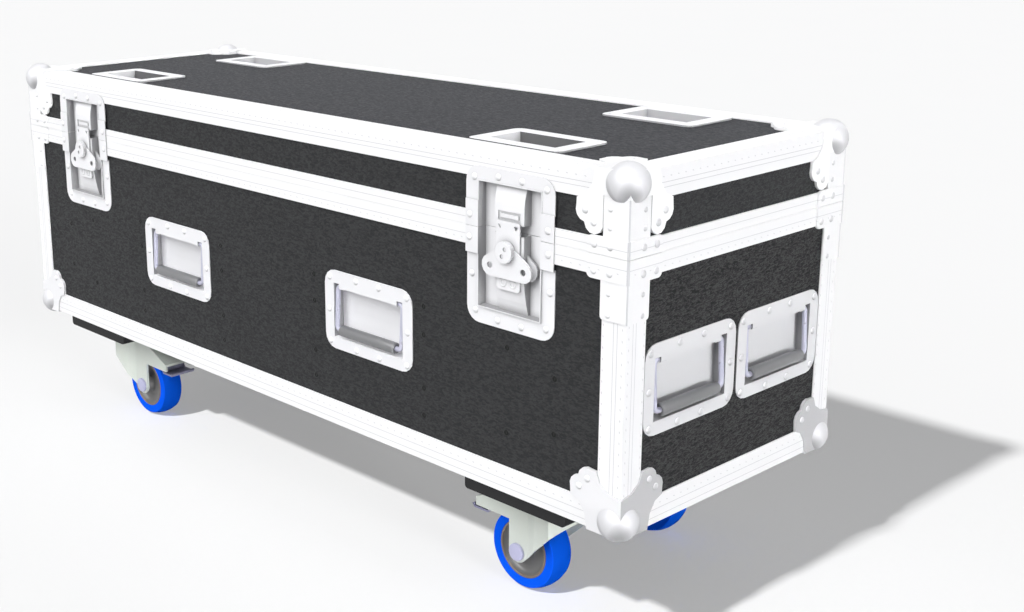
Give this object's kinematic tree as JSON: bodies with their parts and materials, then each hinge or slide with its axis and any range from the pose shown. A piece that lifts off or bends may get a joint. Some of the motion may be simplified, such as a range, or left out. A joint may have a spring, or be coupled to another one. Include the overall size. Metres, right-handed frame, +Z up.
{
  "type": "flight_case",
  "caption": "Long flight case on swivel castors: black laminated boards in aluminium angles, ball corners, recessed butterfly latches and handles, hinged lid.",
  "frame": {"origin": "on the floor under the middle of the case", "axes": "+X along the case's length, -Y towards the latches, +Z up"},
  "size_m": [1.1986, 0.404, 0.5416],
  "materials": {
    "panel": "black pebbled laminate on plywood",
    "board": "plywood painted black",
    "edge_aluminium": "mill finish extrusion",
    "pressed_steel": "bright zinc plate",
    "fork_steel": "zinc plate, slightly green",
    "blue_wheel": "blue tyre on a grey hub",
    "bail_steel": "plated bar, grip in dark grey plastic"
  },
  "bodies": {
    "base": {"base_floor_panel": "panel", "base_front_panel": "panel", "base_rear_panel": "panel", "base_left_panel": "panel", "base_right_panel": "panel", "base_edge_frame": "edge_aluminium", "base_closing_frame": "edge_aluminium", "base_ball_corner_front_left": "pressed_steel", "base_ball_corner_front_right": "pressed_steel", "base_ball_corner_rear_left": "pressed_steel", "base_ball_corner_rear_right": "pressed_steel", "castor_board_left": "board", "castor_board_right": "board", "handle_dish_front_left": "pressed_steel", "handle_dish_front_right": "pressed_steel", "handle_dish_right_front": "pressed_steel", "handle_dish_right_rear": "pressed_steel", "handle_dish_left_rear": "pressed_steel", "handle_dish_left_front": "pressed_steel", "latch_base_left": "pressed_steel", "latch_base_right": "pressed_steel", "hinge_base_leaf_left": "pressed_steel", "hinge_base_leaf_right": "pressed_steel"},
    "lid": {"lid_top_panel": "panel", "lid_side_panels": "panel", "lid_edge_frame": "edge_aluminium", "lid_closing_frame": "edge_aluminium", "lid_ball_corner_front_left": "pressed_steel", "lid_ball_corner_front_right": "pressed_steel", "lid_ball_corner_rear_left": "pressed_steel", "lid_ball_corner_rear_right": "pressed_steel", "stacking_cup_front_left": "pressed_steel", "stacking_cup_front_right": "pressed_steel", "stacking_cup_rear_left": "pressed_steel", "stacking_cup_rear_right": "pressed_steel", "latch_keeper_left": "pressed_steel", "latch_keeper_right": "pressed_steel", "hinge_lid_leaf_left": "pressed_steel", "hinge_lid_leaf_right": "pressed_steel"},
    "butterfly_left": {"butterfly_left": "pressed_steel"},
    "claw_left": {"claw_left": "pressed_steel"},
    "butterfly_right": {"butterfly_right": "pressed_steel"},
    "claw_right": {"claw_right": "pressed_steel"},
    "handle_bail_front_left": {"handle_bail_front_left": "bail_steel"},
    "handle_bail_front_right": {"handle_bail_front_right": "bail_steel"},
    "handle_bail_right_front": {"handle_bail_right_front": "bail_steel"},
    "handle_bail_right_rear": {"handle_bail_right_rear": "bail_steel"},
    "handle_bail_left_rear": {"handle_bail_left_rear": "bail_steel"},
    "handle_bail_left_front": {"handle_bail_left_front": "bail_steel"},
    "castor_fork_front_left": {"castor_fork_front_left": "fork_steel"},
    "castor_wheel_front_left": {"castor_wheel_front_left": "blue_wheel"},
    "brake_pedal_front_left": {"brake_pedal_front_left": "bail_steel"},
    "castor_fork_front_right": {"castor_fork_front_right": "fork_steel"},
    "castor_wheel_front_right": {"castor_wheel_front_right": "blue_wheel"},
    "brake_pedal_front_right": {"brake_pedal_front_right": "bail_steel"},
    "castor_fork_rear_left": {"castor_fork_rear_left": "fork_steel"},
    "castor_wheel_rear_left": {"castor_wheel_rear_left": "blue_wheel"},
    "castor_fork_rear_right": {"castor_fork_rear_right": "fork_steel"},
    "castor_wheel_rear_right": {"castor_wheel_rear_right": "blue_wheel"}
  },
  "joints": [
    {"name": "lid_hinge", "type": "hinge", "parent": "base", "child": "lid", "pos_m": [0, 0.1976, 0.44655], "axis": [-1, 0, 0], "range_deg": [0, 95]},
    {"name": "butterfly_left_turn", "type": "hinge", "parent": "base", "child": "butterfly_left", "pos_m": [-0.4324, -0.1915, 0.4274], "axis": [0, -1, 0], "range_deg": [0, 180]},
    {"name": "claw_left_slide", "type": "slide", "parent": "base", "child": "claw_left", "axis": [0, 0, 1], "range_m": [0, 0.006]},
    {"name": "butterfly_right_turn", "type": "hinge", "parent": "base", "child": "butterfly_right", "pos_m": [0.4324, -0.1915, 0.4274], "axis": [0, -1, 0], "range_deg": [0, 180]},
    {"name": "claw_right_slide", "type": "slide", "parent": "base", "child": "claw_right", "axis": [0, 0, 1], "range_m": [0, 0.006]},
    {"name": "handle_front_left_swing", "type": "hinge", "parent": "base", "child": "handle_bail_front_left", "pos_m": [-0.2014, -0.1865, 0.3303], "axis": [-1, 0, 0], "range_deg": [0, 90]},
    {"name": "handle_front_right_swing", "type": "hinge", "parent": "base", "child": "handle_bail_front_right", "pos_m": [0.2014, -0.1865, 0.3303], "axis": [-1, 0, 0], "range_deg": [0, 90]},
    {"name": "handle_right_front_swing", "type": "hinge", "parent": "base", "child": "handle_bail_right_front", "pos_m": [0.585, -0.0807, 0.3303], "axis": [0, -1, 0], "range_deg": [0, 90]},
    {"name": "handle_right_rear_swing", "type": "hinge", "parent": "base", "child": "handle_bail_right_rear", "pos_m": [0.585, 0.0807, 0.3303], "axis": [0, -1, 0], "range_deg": [0, 90]},
    {"name": "handle_left_rear_swing", "type": "hinge", "parent": "base", "child": "handle_bail_left_rear", "pos_m": [-0.585, 0.0807, 0.3303], "axis": [0, 1, 0], "range_deg": [0, 90]},
    {"name": "handle_left_front_swing", "type": "hinge", "parent": "base", "child": "handle_bail_left_front", "pos_m": [-0.585, -0.0807, 0.3303], "axis": [0, 1, 0], "range_deg": [0, 90]},
    {"name": "castor_front_left_swivel", "type": "hinge", "parent": "base", "child": "castor_fork_front_left", "pos_m": [-0.438, -0.112, 0.1277], "axis": [0, 0, 1], "continuous": true},
    {"name": "wheel_front_left_roll", "type": "hinge", "parent": "castor_fork_front_left", "child": "castor_wheel_front_left", "pos_m": [-0.3985, -0.112, 0.05], "axis": [0, 1, 0], "continuous": true},
    {"name": "brake_front_left_press", "type": "hinge", "parent": "castor_fork_front_left", "child": "brake_pedal_front_left", "pos_m": [-0.352, -0.112, 0.091], "axis": [0, 1, 0], "range_deg": [0, 10]},
    {"name": "castor_front_right_swivel", "type": "hinge", "parent": "base", "child": "castor_fork_front_right", "pos_m": [0.438, -0.112, 0.1277], "axis": [0, 0, 1], "continuous": true},
    {"name": "wheel_front_right_roll", "type": "hinge", "parent": "castor_fork_front_right", "child": "castor_wheel_front_right", "pos_m": [0.3985, -0.112, 0.05], "axis": [0, 1, 0], "continuous": true},
    {"name": "brake_front_right_press", "type": "hinge", "parent": "castor_fork_front_right", "child": "brake_pedal_front_right", "pos_m": [0.352, -0.112, 0.091], "axis": [0, -1, 0], "range_deg": [0, 10]},
    {"name": "castor_rear_left_swivel", "type": "hinge", "parent": "base", "child": "castor_fork_rear_left", "pos_m": [-0.438, 0.112, 0.1277], "axis": [0, 0, 1], "continuous": true},
    {"name": "wheel_rear_left_roll", "type": "hinge", "parent": "castor_fork_rear_left", "child": "castor_wheel_rear_left", "pos_m": [-0.3985, 0.112, 0.05], "axis": [0, 1, 0], "continuous": true},
    {"name": "castor_rear_right_swivel", "type": "hinge", "parent": "base", "child": "castor_fork_rear_right", "pos_m": [0.438, 0.112, 0.1277], "axis": [0, 0, 1], "continuous": true},
    {"name": "wheel_rear_right_roll", "type": "hinge", "parent": "castor_fork_rear_right", "child": "castor_wheel_rear_right", "pos_m": [0.3985, 0.112, 0.05], "axis": [0, 1, 0], "continuous": true}
  ],
  "couplings": [
    {"joint": "claw_left_slide", "follows": "butterfly_left_turn", "m_per_rad": 0.0019094},
    {"joint": "claw_right_slide", "follows": "butterfly_right_turn", "m_per_rad": 0.0019094}
  ]
}
